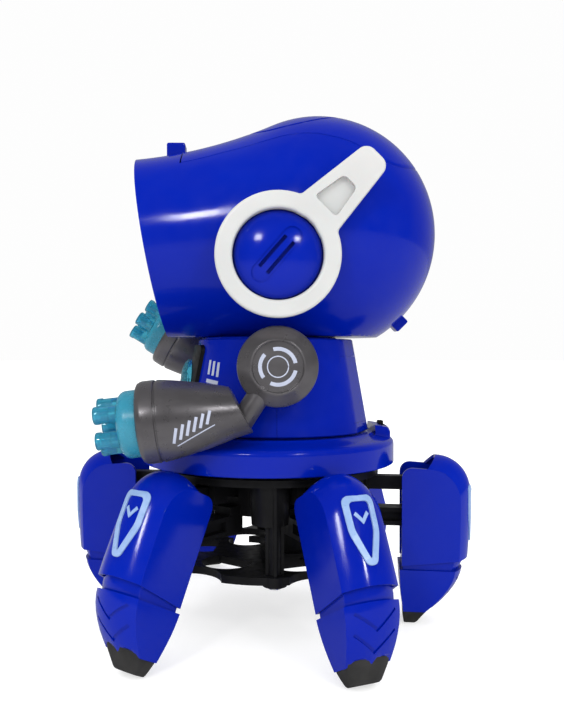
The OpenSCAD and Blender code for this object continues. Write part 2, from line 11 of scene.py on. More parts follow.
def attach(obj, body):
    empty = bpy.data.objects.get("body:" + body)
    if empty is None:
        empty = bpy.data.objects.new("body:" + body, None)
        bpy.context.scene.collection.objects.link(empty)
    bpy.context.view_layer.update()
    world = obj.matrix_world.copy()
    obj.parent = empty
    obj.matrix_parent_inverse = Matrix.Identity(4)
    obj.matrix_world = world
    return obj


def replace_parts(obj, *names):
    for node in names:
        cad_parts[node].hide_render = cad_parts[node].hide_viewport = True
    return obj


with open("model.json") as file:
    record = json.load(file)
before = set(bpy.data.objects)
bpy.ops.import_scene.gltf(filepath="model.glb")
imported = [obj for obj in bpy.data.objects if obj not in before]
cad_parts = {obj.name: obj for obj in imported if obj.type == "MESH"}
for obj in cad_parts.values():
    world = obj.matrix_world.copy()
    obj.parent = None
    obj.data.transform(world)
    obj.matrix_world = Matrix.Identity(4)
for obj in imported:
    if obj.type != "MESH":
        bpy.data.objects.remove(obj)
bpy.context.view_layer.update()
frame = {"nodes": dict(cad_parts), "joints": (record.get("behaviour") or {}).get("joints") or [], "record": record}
nodes = frame["nodes"]
MM = 0.001
SIDES = ((1, "left"), (-1, "right"))


# ---------- materials ----------

def set_inputs(node, **values):
    """Sets a node's inputs by name, with _ for spaces."""
    for key, value in values.items():
        node.inputs[key.replace("_", " ")].default_value = value


def wire(source, output, target, entry):
    source.id_data.links.new(source.outputs[output], target.inputs[entry])


def new_material(name, colour, roughness, **values):
    """A Principled material; other values are inputs of its shader."""
    mat = bpy.data.materials.new(name)
    mat.use_nodes = True
    set_inputs(mat.node_tree.nodes["Principled BSDF"], Base_Color=(*colour, 1), Roughness=roughness, **values)
    return mat


def noise(mat, scale, detail=3.0, stretch=(1, 1, 1)):
    """Noise in object coordinates, in metres; returns its value socket."""
    tree = mat.node_tree
    place = tree.nodes.new("ShaderNodeTexCoord")
    mapping = tree.nodes.new("ShaderNodeMapping")
    texture = tree.nodes.new("ShaderNodeTexNoise")
    set_inputs(mapping, Scale=stretch)
    set_inputs(texture, Scale=scale, Detail=detail)
    wire(place, "Object", mapping, "Vector")
    wire(mapping, "Vector", texture, "Vector")
    return texture.outputs["Fac"]


def vary_colour(mat, source, dark, light, low=0.35, high=0.65):
    """Base colour runs from dark to light with the source value."""
    tree = mat.node_tree
    ramp = tree.nodes.new("ShaderNodeValToRGB")
    for stop, place, colour in zip(ramp.color_ramp.elements, (low, high), (dark, light)):
        stop.position, stop.color = place, (*colour, 1)
    tree.links.new(source, ramp.inputs["Fac"])
    wire(ramp, "Color", tree.nodes["Principled BSDF"], "Base Color")


def vary_roughness(mat, source, low, high):
    tree = mat.node_tree
    spread = tree.nodes.new("ShaderNodeMapRange")
    set_inputs(spread, From_Min=0.3, From_Max=0.7, To_Min=low, To_Max=high)
    tree.links.new(source, spread.inputs["Value"])
    wire(spread, "Result", tree.nodes["Principled BSDF"], "Roughness")


def add_bump(mat, source, strength, depth):
    """Surface relief of the given depth in metres."""
    tree = mat.node_tree
    bump = tree.nodes.new("ShaderNodeBump")
    set_inputs(bump, Strength=strength, Distance=depth)
    tree.links.new(source, bump.inputs["Height"])
    wire(bump, "Normal", tree.nodes["Principled BSDF"], "Normal")


def coated(name, colour, roughness, tint=None, gloss=None, relief=None, **values):
    """A material whose colour, roughness and height may each follow a noise, given as its arguments first."""
    mat = new_material(name, colour, roughness, **values)
    for change, recipe in ((vary_colour, tint), (vary_roughness, gloss), (add_bump, relief)):
        if recipe:
            change(mat, noise(mat, *recipe[0]), *recipe[1:])
    return mat


MATERIALS = {
    "blue_shell": coated(
        "blue_abs", (0.0, 0.009, 0.27), 0.12, IOR=1.33,
        tint=((14,), (0.0, 0.008, 0.255), (0.0, 0.011, 0.285)),
        gloss=((160,), 0.10, 0.17), relief=((260, 2), 0.06, 0.0002)),
    "black_frame": coated(
        "black_abs", (0.005, 0.005, 0.006), 0.38, IOR=1.38, Specular_IOR_Level=0.25,
        tint=((60,), (0.004, 0.004, 0.0045), (0.007, 0.007, 0.008)),
        gloss=((300,), 0.28, 0.5), relief=((1200, 3), 0.15, 0.0001)),
    "grey_arm": coated(
        "gunmetal_paint", (0.13, 0.124, 0.131), 0.3, Metallic=0.7,
        tint=((70, 5, (1, 0.35, 1)), (0.10, 0.095, 0.101), (0.16, 0.153, 0.161)),
        gloss=((250,), 0.25, 0.38), relief=((240, 2), 0.05, 0.0002)),
    "clear_cyan": coated(
        "clear_cyan", (0.09, 0.58, 0.78), 0.06, IOR=1.46, Transmission_Weight=0.82,
        tint=((50,), (0.08, 0.55, 0.75), (0.11, 0.61, 0.81)), gloss=((300,), 0.03, 0.1)),
    "frosted_cyan": coated(
        "frosted_cyan", (0.035, 0.29, 0.42), 0.26, IOR=1.46, Transmission_Weight=0.35,
        tint=((50,), (0.028, 0.27, 0.39), (0.045, 0.31, 0.45)),
        gloss=((300,), 0.2, 0.32), relief=((280, 2), 0.06, 0.0002)),
    "white_trim": coated(
        "white_abs", (0.47, 0.47, 0.465), 0.35, Subsurface_Weight=0.05,
        tint=((40,), (0.455, 0.455, 0.45), (0.485, 0.485, 0.48)),
        gloss=((220,), 0.28, 0.42), relief=((500, 2), 0.06, 0.0001)),
    "gear_white": coated(
        "acetal", (0.75, 0.74, 0.68), 0.4, Subsurface_Weight=0.1,
        tint=((90,), (0.68, 0.67, 0.6), (0.78, 0.77, 0.72)), relief=((700, 2), 0.1, 0.0001)),
    "steel": coated(
        "steel", (0.6, 0.61, 0.63), 0.28, Metallic=1.0,
        gloss=((300, 4, (1, 1, 0.1)), 0.2, 0.42), relief=((900, 2), 0.08, 0.00005)),
    "rubber_foot": coated(
        "black_rubber", (0.012, 0.012, 0.012), 0.75,
        tint=((80,), (0.008, 0.008, 0.008), (0.022, 0.021, 0.02)), relief=((1500, 4), 0.3, 0.00015)),
    "dark_visor": coated(
        "smoked_visor", (0.006, 0.006, 0.012), 0.06, IOR=1.49, gloss=((120,), 0.04, 0.09)),
    "cell_wrap": coated(
        "cell_wrap", (0.05, 0.22, 0.09), 0.25, tint=((60,), (0.03, 0.16, 0.06), (0.06, 0.25, 0.1))),
    "board_green": coated(
        "circuit_green", (0.01, 0.10, 0.03), 0.35,
        tint=((200, 2, (1, 1, 4)), (0.008, 0.07, 0.02), (0.015, 0.14, 0.045), 0.48, 0.52)),
    "pale_trim": coated(
        "pale_blue_print", (0.21, 0.32, 0.54), 0.3,
        tint=((300,), (0.19, 0.30, 0.52), (0.23, 0.34, 0.56)), gloss=((500,), 0.25, 0.38)),
    "pale_print": coated(
        "lavender_print", (0.36, 0.39, 0.49), 0.4,
        tint=((300,), (0.34, 0.37, 0.47), (0.38, 0.41, 0.51)), gloss=((500,), 0.34, 0.48)),
    "lit_cyan": coated(
        "lit_cyan", (0.2, 0.75, 0.9), 0.2, Emission_Color=(0.1, 0.65, 1.0, 1), Emission_Strength=1.6,
        tint=((400,), (0.15, 0.7, 0.86), (0.25, 0.8, 0.94))),
}


def paint(obj, slot):
    obj.data.materials.clear()
    obj.data.materials.append(MATERIALS[slot])


for part in frame["record"]["subparts"]:
    paint(nodes[part["node"]], part["material_slot"])


# ---------- mesh helpers ----------

def loft(rings, closed=True, caps=True):
    """Vertices and faces of a skin through rings that all have the same number of points."""
    count = len(rings[0])
    verts = [tuple(p) for ring in rings for p in ring]
    faces = []
    for i in range(len(rings) - 1):
        for j in range(count if closed else count - 1):
            a, b = i * count + j, i * count + (j + 1) % count
            faces.append((a, b, b + count, a + count))
    if caps:
        faces.append(tuple(reversed(range(count))))
        faces.append(tuple(range((len(rings) - 1) * count, len(rings) * count)))
    return verts, faces


def full_turn(steps):
    """Angles of a whole turn, in radians."""
    return [2 * pi * i / steps for i in range(steps)]


def circle(radius, height, steps):
    """Points of a circle round local Z."""
    return [(radius * cos(a), radius * sin(a), height) for a in full_turn(steps)]


def revolve(profile, steps=96):
    """Closed solid of revolution from (radius, height) points that start and end on the local Z axis."""
    rings = [circle(r, z, steps) for r, z in profile[1:-1]]
    verts, faces = loft(rings, caps=False)
    last = (len(rings) - 1) * steps
    low, high = len(verts), len(verts) + 1
    verts += [(0, 0, profile[0][1]), (0, 0, profile[-1][1])]
    for j in range(steps):
        k = (j + 1) % steps
        faces.append((low, k, j))
        faces.append((high, last + j, last + k))
    return verts, faces


def rod(radius, low, high, steps=96):
    """Solid round bar along local Z."""
    return revolve([(0, low), (radius, low), (radius, high), (0, high)], steps)


def bevelled_rod(radius, low, high, edge):
    """Solid round bar along local Z with bevelled ends."""
    return revolve([(0, low), (radius - edge, low), (radius, low + edge),
                    (radius, high - edge), (radius - edge, high), (0, high)])


def arc(centre, radius, start, end, steps):
    """Points of an arc, angles in degrees."""
    return [(centre[0] + radius * cos(radians(start + (end - start) * i / steps)),
             centre[1] + radius * sin(radians(start + (end - start) * i / steps)))
            for i in range(steps + 1)]


def rounded(corners, radius, steps=5):
    """A closed outline with each corner rounded by a small curve."""
    points = []
    for i, c in enumerate(corners):
        c = Vector(c)
        before, after = Vector(corners[i - 1]), Vector(corners[(i + 1) % len(corners)])
        cut = min(radius, (before - c).length / 2.2, (after - c).length / 2.2)
        p0, p1 = c + (before - c).normalized() * cut, c + (after - c).normalized() * cut
        for s in range(steps + 1):
            u = s / steps
            points.append(tuple(p0 * (1 - u) ** 2 + c * 2 * u * (1 - u) + p1 * u * u))
    return points


def inset(corners, distance):
    """The closed outline moved inwards by a distance; corners run anticlockwise."""
    points = []
    for i, c in enumerate(corners):
        c, before, after = Vector(c), Vector(corners[i - 1]), Vector(corners[(i + 1) % len(corners)])
        d0, d1 = (c - before).normalized(), (after - c).normalized()
        n0, n1 = Vector((-d0.y, d0.x)), Vector((-d1.y, d1.x))
        points.append(tuple(c + (n0 + n1) * distance / (1 + n0.dot(n1))))
    return points


def add_object(name, data):
    obj = bpy.data.objects.new(name, data)
    bpy.context.collection.objects.link(obj)
    return obj


def make_object(name, geometry, slot, place=Matrix.Identity(4)):
    """A mesh object from vertices in millimetres, moved by a matrix in metres, with outward normals."""
    verts, faces = geometry
    mesh = bpy.data.meshes.new(name)
    mesh.from_pydata([tuple(place @ (Vector(v) * MM)) for v in verts], [], faces)
    tidy = bmesh.new()
    tidy.from_mesh(mesh)
    bmesh.ops.remove_doubles(tidy, verts=tidy.verts, dist=1e-7)
    bmesh.ops.recalc_face_normals(tidy, faces=tidy.faces)
    tidy.to_mesh(mesh)
    tidy.free()
    obj = add_object(name, mesh)
    paint(obj, slot)
    return obj


def soften(obj, width=0.35, segments=3, angle=35):
    """Rounds sharp edges by a width in millimetres and shades the rest smooth."""
    obj.data.polygons.foreach_set("use_smooth", [True] * len(obj.data.polygons))
    obj.data.set_sharp_from_angle(angle=radians(angle))
    if width:
        bevel = obj.modifiers.new("edges", "BEVEL")
        bevel.width, bevel.segments = width * MM, segments
        bevel.limit_method, bevel.angle_limit = "ANGLE", radians(angle)
    weigh = obj.modifiers.new("normals", "WEIGHTED_NORMAL")
    weigh.keep_sharp = True
    return obj


def apply_modifiers(obj):
    """Bakes an object's modifiers into its mesh."""
    bpy.context.view_layer.update()
    mesh = bpy.data.meshes.new_from_object(obj.evaluated_get(bpy.context.evaluated_depsgraph_get()))
    obj.modifiers.clear()
    obj.data = mesh
    return obj


def clean(obj, distance=0.02):
    """Merges vertices closer than a distance in millimetres and removes the faces that this flattens."""
    tidy = bmesh.new()
    tidy.from_mesh(obj.data)
    bmesh.ops.remove_doubles(tidy, verts=tidy.verts, dist=distance * MM)
    bmesh.ops.dissolve_degenerate(tidy, edges=tidy.edges, dist=distance * MM / 2)
    tidy.to_mesh(obj.data)
    tidy.free()


def boolean(obj, other, operation="DIFFERENCE", keep_other=False):
    """Cuts, joins or intersects an object with another, which is then deleted."""
    change = obj.modifiers.new("cut", "BOOLEAN")
    change.operation, change.object, change.solver = operation, other, "EXACT"
    clean(apply_modifiers(obj))
    if not keep_other:
        bpy.data.objects.remove(other)
    return obj


def tool(geometry, place=Matrix.Identity(4)):
    """Scratch solid for boolean() to use up."""
    return make_object("tool", geometry, "blue_shell", place)


def band(outer, inner, surface, low, high):
    """Closed frame between two outlines with equal point counts, laid on a surface(a, b, height)."""
    rings = [[surface(a, b, h) for a, b in outline] for outline, h in
             ((outer, low), (outer, high), (inner, high), (inner, low), (outer, low))]
    return loft(rings, caps=False)


STRIP_CROWN = 1.02              # height of a strip's middle over its edges


def strip(start, end, width, surface, low, high, steps=8):
    """Closed straight bar of a width, laid on a surface(a, b, height)."""
    s, e = Vector(start), Vector(end)
    side = Vector((-(e - s).y, (e - s).x)).normalized() * width / 2
    rings = []
    for i in range(steps + 1):
        p = s.lerp(e, i / steps)
        left, right = p - side, p + side
        rings.append([surface(*left, low), surface(*right, low), surface(*right, high),
                      surface(*p, high * STRIP_CROWN), surface(*left, high)])
    return loft(rings)


def joined(*parts):
    """Several geometries as one."""
    verts, faces = [], []
    for v, f in parts:
        faces += [tuple(i + len(verts) for i in face) for face in f]
        verts += v
    return verts, faces


def plain(a, b, height):
    """Flat surface for band()."""
    return (a, b, height)


def rectangle(x0, y0, x1, y1):
    return [(x0, y0), (x1, y0), (x1, y1), (x0, y1)]


def turned(angle, axis):
    """Rotation matrix about a main axis, in degrees."""
    return Matrix.Rotation(radians(angle), 4, axis)


def moved(x, y, z):
    """Translation matrix, in millimetres."""
    return Matrix.Translation(Vector((x, y, z)) * MM)


def along_x(y, z):
    """Matrix that lays a revolved shape along X, its height 0 at x 0."""
    return moved(0, y, z) @ turned(90, "Y")


def outward(side, x, y, z):
    """Matrix that turns a flat drawing (back along X, up along Y) to face out of one side."""
    return Matrix(((0, 0, side, x * MM), (1, 0, 0, y * MM), (0, 1, 0, z * MM), (0, 0, 0, 1)))


def joint(name):
    return next(j for j in frame["joints"] if j["name"] == name)


# ---------- legs ----------

LEG_COUNT = 6
LEG_SPLAY = radians(28)
LEG_HALF = 11.5                 # half width of the cover
LEG_WALL = 1.6
LEG_CREASE = 1.0                # rounding between the cover and its side panels
RIM_EDGE = (11.8, -17.6)        # lower rim of the cover: its edge, then its crown
RIM_CROWN = (16.7, -17.2)
EDGE_ARC = (-1.6, 8.6, 14.1)    # x, z and radius of the cover's rounded top, at its edge and its crown
CROWN_ARC = (2.4, 12.2, 15.5)
PANEL_IN = -12.8
PANEL_TOP = 22.9
STRAIGHT = 0.55                 # share of the cover's outline that is straight
CLAW_LEVELS = [                 # height, crown x, edge x, inner x, half width
    (-22.1, 14.2, 10.2, -13.8, 11.2), (-24.5, 13.6, 9.7, -13.7, 11.15), (-27.0, 12.6, 8.8, -13.6, 11.0),
    (-30.0, 10.9, 7.2, -13.4, 10.75), (-33.0, 8.7, 5.1, -13.1, 10.4), (-36.0, 6.0, 2.6, -12.7, 10.0),
    (-38.8, 3.0, -0.2, -12.4, 9.5), (-41.0, 0.3, -2.6, -12.1, 9.1)]
NECK_LEVELS = [
    (-15.5, 14.6, 10.0, -12.2, 10.1), (-19.5, 14.2, 9.6, -12.4, 10.1), (-23.5, 12.2, 8.2, -12.6, 10.1)]
FOOT_LEVELS = [
    (-39.0, 2.0, -0.8, -12.1, 8.9), (-41.5, -0.4, -3.0, -11.9, 8.5), (-44.2, -2.9, -5.0, -11.8, 7.4),
    (-46.2, -4.6, -6.2, -11.75, 6.4), (-47.0, -5.6, -7.0, -11.7, 5.6)]


def leg_place(k):
    """Matrix from hinge coordinates (out along X, up along Z) to the row frame, at the leg's rest swing."""
    swing = joint(f"leg_swing_{k}")
    pin = Vector(swing["pos_m"])
    splayed = swing["range_deg"][0] < 0
    return (Matrix.Translation(pin) @ Matrix.Rotation(atan2(pin.y, pin.x), 4, "Z")
            @ Matrix.Rotation(-LEG_SPLAY if splayed else 0, 4, "Y"))


def outline_point(rim, bend, t):
    """Point of the cover's side outline: straight up from the rim, then round the top."""
    cx, cz, radius = bend
    if t < STRAIGHT:
        s = t / STRAIGHT
        return rim[0] + (cx + radius - rim[0]) * sin(s * pi / 2) ** 0.8, rim[1] + (cz - rim[1]) * s
    turn = (t - STRAIGHT) / (1 - STRAIGHT) * pi / 2
    return cx + radius * cos(turn), cz + radius * sin(turn)


def cover_point(y, t, height=0.0):
    """Point of the crowned cover at y across and share t up the outline, raised by a height."""
    def flat(y, t):
        share = 1 - (y / LEG_HALF) ** 2
        (ex, ez), (cx, cz) = outline_point(RIM_EDGE, EDGE_ARC, t), outline_point(RIM_CROWN, CROWN_ARC, t)
        return Vector((ex + (cx - ex) * share, y, ez + (cz - ez) * share))
    point = flat(y, t)
    if height:
        step = 0.01
        up = flat(y, min(t + step, 1)) - flat(y, max(t - step, 0))
        across = flat(y + 0.2, t) - flat(y - 0.2, t)
        point += across.cross(up).normalized() * height
    return point


def leg_shell_geometry():
    """Skin of the shell: crowned cover and two flat side panels, open inside, below and behind the lip."""
    rows, columns = 28, 16
    rings = [[cover_point(-LEG_HALF + 2 * LEG_HALF * j / columns, i / rows) for j in range(columns + 1)]
             for i in range(rows + 1)]
    cover = loft(rings, closed=False, caps=False)
    panels = []
    for side in (-1, 1):
        edge = [(p[0], p[2]) for p in (cover_point(LEG_HALF, i / rows) for i in range(rows + 1))]
        inner = arc((PANEL_IN + 4.6, PANEL_TOP - 4.6), 4.6, 90, 180, 6)
        outline = edge + inner + [(PANEL_IN, -20.3)]
        verts = [(x, side * LEG_HALF, z) for x, z in outline]
        panels.append((verts, [tuple(range(len(verts)))]))
    return joined(cover, *panels)


def crowned_ring(level, wave=0.0):
    """Ring of a claw section: flat inside and sides, crowned outer face."""
    z, crown, edge, inner, half = level
    steps = 14
    ring = [(inner, -half, z), (inner * 0.5 + edge * 0.5, -half, z)]
    for i in range(steps + 1):
        y = -half + 2 * half * i / steps
        lift = wave * abs(sin(pi * y / half)) if wave else 0
        ring.append((edge + (crown - edge) * (1 - (y / half) ** 2), y, z + lift))
    return ring + [(inner * 0.5 + edge * 0.5, half, z), (inner, half, z)]


def claw_point(y, b, height=0.0):
    """Point of the claw's outer face at y across and height b over the hinge."""
    for upper, lower in zip(CLAW_LEVELS, CLAW_LEVELS[1:]):
        if b >= lower[0]:
            break
    s = (b - lower[0]) / (upper[0] - lower[0])
    crown, edge, half = (lower[n] + (upper[n] - lower[n]) * s for n in (1, 2, 4))
    slope = (upper[1] - lower[1]) / (upper[0] - lower[0])
    normal = Vector((1, 2 * (crown - edge) * y / half ** 2, -slope)).normalized()
    return Vector((edge + (crown - edge) * (1 - (y / half) ** 2), y, b)) + normal * height


# outline of the shield: millimetres across, share up the cover's outline
SHIELD = [(-6.3, 0.61), (-6.0, 0.36), (-1.9, 0.125), (1.9, 0.125), (6.0, 0.36), (6.3, 0.61)]
SHIELD_LENGTH = 47.0            # along the cover, so that both axes of the shield are in millimetres


def shield_surface(y, b, height):
    return cover_point(y, b / SHIELD_LENGTH, height)


def claw_template():
    """One claw in hinge coordinates; every leg gets a copy of it."""
    claw = make_object("claw_template", loft([crowned_ring(v) for v in CLAW_LEVELS[:-1]]
                                             + [crowned_ring(CLAW_LEVELS[-1], 1.6)]), "blue_shell")
    for top in (-25.0, -31.5):
        for side in (-1, 1):
            groove = strip((side * 8.2, top), (side * -0.35, top - 6.4), 0.9, claw_point, -0.55, 1.5)
            boolean(claw, tool(groove))
    return claw


def placed_copy(source, name, place):
    """Copy of an object with a mesh of its own, moved by a matrix."""
    mesh = source.data.copy()
    mesh.transform(place)
    return add_object(name, mesh)


def mark_creases(mesh, inward):
    """Gives a bevel weight to the edges between the cover and its side panels."""
    creases = mesh.attributes.new("bevel_weight_edge", "FLOAT", "EDGE")
    for edge in mesh.edges:
        ends = [inward @ mesh.vertices[i].co / MM for i in edge.vertices]
        on_crease = all(abs(abs(p.y) - LEG_HALF) < 0.01 and p.x > EDGE_ARC[0] - 0.5 for p in ends)
        creases.data[edge.index].value = 1.0 if on_crease and abs(ends[0].y - ends[1].y) < 1 else 0.0


def make_leg(k, claw_source):
    place, body = leg_place(k), f"leg_{k}"
    shell = make_object(f"leg_{k}_cover", leg_shell_geometry(), "blue_shell", place)
    mark_creases(shell.data, place.inverted())
    crease = shell.modifiers.new("crease", "BEVEL")
    crease.limit_method, crease.width, crease.segments = "WEIGHT", LEG_CREASE * MM, 4
    wall = shell.modifiers.new("wall", "SOLIDIFY")
    wall.thickness, wall.offset, wall.use_even_offset = LEG_WALL * MM, -1, True
    soften(apply_modifiers(shell), 0.3, 2, 50)
    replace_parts(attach(shell, body), f"leg_shell_{k}")

    claw = soften(placed_copy(claw_source, f"leg_{k}_claw", place), 0.3, 2, 28)
    neck = make_object(f"leg_{k}_neck", loft([crowned_ring(v) for v in NECK_LEVELS]), "blue_shell", place)
    soften(neck, 0.3, 2, 40)
    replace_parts(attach(claw, body), f"claw_{k}")
    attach(neck, body)

    foot = make_object(f"leg_{k}_foot", loft([crowned_ring(v) for v in FOOT_LEVELS]), "rubber_foot", place)
    soften(foot, 0.5, 3, 30)
    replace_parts(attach(foot, body), f"foot_{k}")

    corners = [(y, t * SHIELD_LENGTH) for y, t in SHIELD]
    outer, inner = rounded(corners, 2.2, 6), rounded(inset(corners, 2.3), 1.4, 6)
    shield = band(outer, inner, shield_surface, -0.3, 0.75)
    shield = make_object(f"leg_{k}_shield", shield, "pale_trim", place)
    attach(soften(shield, 0.25, 2, 50), body)
    chevron = joined(*[strip((side * 2.6, 22.6), (side * -0.35, 19.2), 1.2, shield_surface, -0.2, 0.25)
                       for side in (-1, 1)])
    mark = make_object(f"leg_{k}_chevron", chevron, "pale_trim", place)
    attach(soften(mark, 0, 1, 40), body)


template = claw_template()
for k in range(1, LEG_COUNT + 1):
    make_leg(k, template)
bpy.data.objects.remove(template)


# ---------- head ----------

HEAD_PLACE = moved(0, 21.7, 173.6) @ turned(95, "X")
HEAD_R = 53.8                   # round back
HOOD_R = 41.6                   # open end of the hood
HOOD_LENGTH = 92
JOIN_T = 16                     # where the round back ends, along the axis
JOIN_R = sqrt(HEAD_R ** 2 - JOIN_T ** 2)
JOIN_A = atan2(JOIN_T, JOIN_R)
HOLLOW_R = (JOIN_R - HOOD_R) / (cos(radians(1.7)) - cos(JOIN_A))
FACE_PLACE = moved(0, -58.2, 200) @ turned(10, "X")
HEAD_BOTTOM = 127.6
SHELL_WALL = 1.8
BACK_STEP = 2.5                 # degrees between points of the head's round back
CROWN_CUT = (185, 260)          # heights of the tools that shape the crown
SEAM = 0.15                     # half width of the seam between the head's halves
FAR = 90                        # cutting tools reach out this far
EAR_X, EAR_Y, EAR_Z = 53.9, 2.5, 158.6
RING_OUT, RING_IN, RING_THICK = 24.6, 17.8, 6.0
ANTENNA_TURN = 45               # degrees up from straight back
ANTENNA_SPREAD = 24             # half of the ring's opening to the antenna, degrees
CAP_CURVE, CAP_SPAN = 38.3, 27  # dome of an ear cap: radius, and degrees from its middle to its rim
VISOR_DROP = -31
VISOR_CURVE, VISOR_SINK = 66, 60    # dome of the visor: radius, and its centre's depth
EYE_X, EYE_Z = 14, 3.5


def solid_box(low, high, place=Matrix.Identity(4)):
    """Scratch block between two corners."""
    (x0, y0, z0), (x1, y1, z1) = low, high
    return tool(loft([[(x, y, z) for x, y in rectangle(x0, y0, x1, y1)] for z in (z0, z1)]), place)


def prism(outline, low, high):
    """Solid between two heights of a closed outline in local X-Y."""
    return loft([[(x, y, z) for x, y in outline] for z in (low, high)])


def head_profile(inset_by):
    """Half outline of the head about its axis: a round back, then one hollow arc to the hood."""
    r = HEAD_R - inset_by
    count = int((90 + degrees(JOIN_A)) / BACK_STEP)
    angles = [radians(BACK_STEP * i) for i in range(1, count + 1)]
    points = [(0, -r)] + [(r * sin(a), -r * cos(a)) for a in angles]
    steps = 30
    for i in range(steps + 1):
        a = JOIN_A * (1 - i / steps)
        points.append((JOIN_R - HOLLOW_R * (cos(a) - cos(JOIN_A)) - inset_by,
                       JOIN_T + HOLLOW_R * (sin(JOIN_A) - sin(a))))
    return points + [(HOOD_R - inset_by, HOOD_LENGTH), (0, HOOD_LENGTH)]


def crown_outline(grow):
    """Plan of the crown panel: narrow in front, round behind."""
    side = [(27, -38), (28.5, -20), (32, -4), (36.5, 10), (39.8, 25)]
    back = [(x, 40 + 0.65 * y) for x, y in arc((0, 0), 41, 0, 180, 32)]
    corners = side + back + [(-x, y) for x, y in reversed(side)]
    return inset(corners, -grow)


def oval(half_width, half_length):
    """Outline of the hatch in the crown."""
    return [(half_width * x, 11.5 + half_length * y) for x, y in arc((0, 0), 1, 0, 360, 96)[:-1]]


def below_head(lift=0.0):
    """Cutting tool for everything under the head's flat underside."""
    return solid_box((-FAR, -FAR, 60), (FAR, FAR, HEAD_BOTTOM + lift))


def head_blank():
    """Closed head solid, cut at the face and the flat underside."""
    blank = make_object("head", revolve(head_profile(0), 144), "blue_shell", HEAD_PLACE)
    boolean(blank, solid_box((-FAR, -60, -150), (FAR, 0, FAR), FACE_PLACE))
    boolean(blank, below_head())
    return blank


def bar_across(radius, x0, x1, y, z):
    """Scratch round bar along X with bevelled ends."""
    return tool(bevelled_rod(radius, x0, x1, 0.6), along_x(y, z))


def crown_tool(outline):
    """Upright cutting tool for the crown."""
    return tool(prism(outline, *CROWN_CUT))


def make_head():
    shell = head_blank()
    hollow = tool(revolve(head_profile(SHELL_WALL), 144), HEAD_PLACE)
    boolean(hollow, below_head(SHELL_WALL))
    boolean(shell, hollow)
    panel = make_object("head_crown", prism(crown_outline(0), *CROWN_CUT), "blue_shell")
    boolean(panel, shell, "INTERSECT", keep_other=True)
    boolean(shell, crown_tool(crown_outline(0.6)))
    groove = tool(band(oval(29.8, 23.8), oval(28.2, 22.2), plain, *CROWN_CUT))
    boolean(groove, tool(revolve(head_profile(1.2), 144), HEAD_PLACE))
    boolean(panel, groove)
    for x in (-12, 12):
        boolean(panel, crown_tool(rounded(rectangle(x - 1.5, -8, x + 1.5, 33), 1.4)))
    boolean(panel, crown_tool(rounded(rectangle(-8, 46, 8, 50), 1.8)))
    for side in (-1, 1):
        x0, x1 = sorted((side * 44, side * (EAR_X - 0.2)))
        boolean(shell, bar_across(22.6, x0, x1, EAR_Y, EAR_Z), "UNION")
    for front, top in ((-57, 134), (40, 190)):
        boolean(shell, solid_box((-SEAM, front, 100), (SEAM, FAR, top)))
    for obj in (shell, panel):
        soften(obj, 0.25, 2, 40)
        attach(obj, "head")
    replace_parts(shell, "head_left")
    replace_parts(shell, "head_right")
    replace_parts(panel, "head_top")
    make_lug("head_lug_front", moved(0, -42.5, 211.8), (4.0, 4.2, 4.6))
    rear_place = moved(0, 59.2, 134.8) @ turned(45, "X")
    make_lug("head_lug_rear", rear_place, (4.0, 3.4, 3.3))


def make_lug(name, place, half):
    """Small square moulding with rounded corners."""
    w, d, h = half
    outline = rounded(rectangle(-d, -h, d, h), 1.0)
    geometry = loft([[(x, y, z) for y, z in outline] for x in (-w, w)])
    lug = make_object(name, geometry, "blue_shell", place)
    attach(soften(lug, 0.35, 3, 40), "head")


# ---------- headset and ear caps ----------

def ear_place(side):
    """Matrix from ear coordinates (back along X, up along Y, out along Z) to the row frame."""
    return outward(side, side * EAR_X, EAR_Y, EAR_Z)


def antenna_outline():
    """Ring's outer edge running out into the tapered antenna bar, which points up and back."""
    start, end = ANTENNA_TURN + ANTENNA_SPREAD, ANTENNA_TURN + 360 - ANTENNA_SPREAD
    ring = arc((0, 0), RING_OUT, start, end, 88)
    tip = []
    for side, angles in ((-1, (-85, 0)), (1, (0, 85))):
        tip += [(50.4 + x, side * 2.2 + y) for x, y in arc((0, 0), 4.4, *angles, 8)]
    c = sqrt(0.5)
    return ring + [(c * (x - y), c * (x + y)) for x, y in tip]


def nearest_ring(points, radius):
    """Point of a circle in the direction of each given point."""
    return [tuple(Vector(p).normalized() * radius) for p in points]


def make_headset(side, name):
    place = ear_place(side)
    outer = antenna_outline()
    ring = band(outer, nearest_ring(outer, RING_IN), plain, 0, RING_THICK)
    body = make_object(f"{name}_ring", ring, "white_trim", place)
    soften(body, 1.3, 5, 35)
    apply_modifiers(body)
    pocket = rounded([(25.6, -5.9), (25.6, 5.9), (39.5, 3.5), (39.5, -3.5)], 2.2, 6)
    turn = place @ turned(ANTENNA_TURN, "Z")
    boolean(body, make_object("cut", prism(pocket, RING_THICK - 2.6, RING_THICK + 3), "white_trim", turn))
    soften(body, 0.25, 2, 50)
    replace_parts(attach(body, "head"), name)


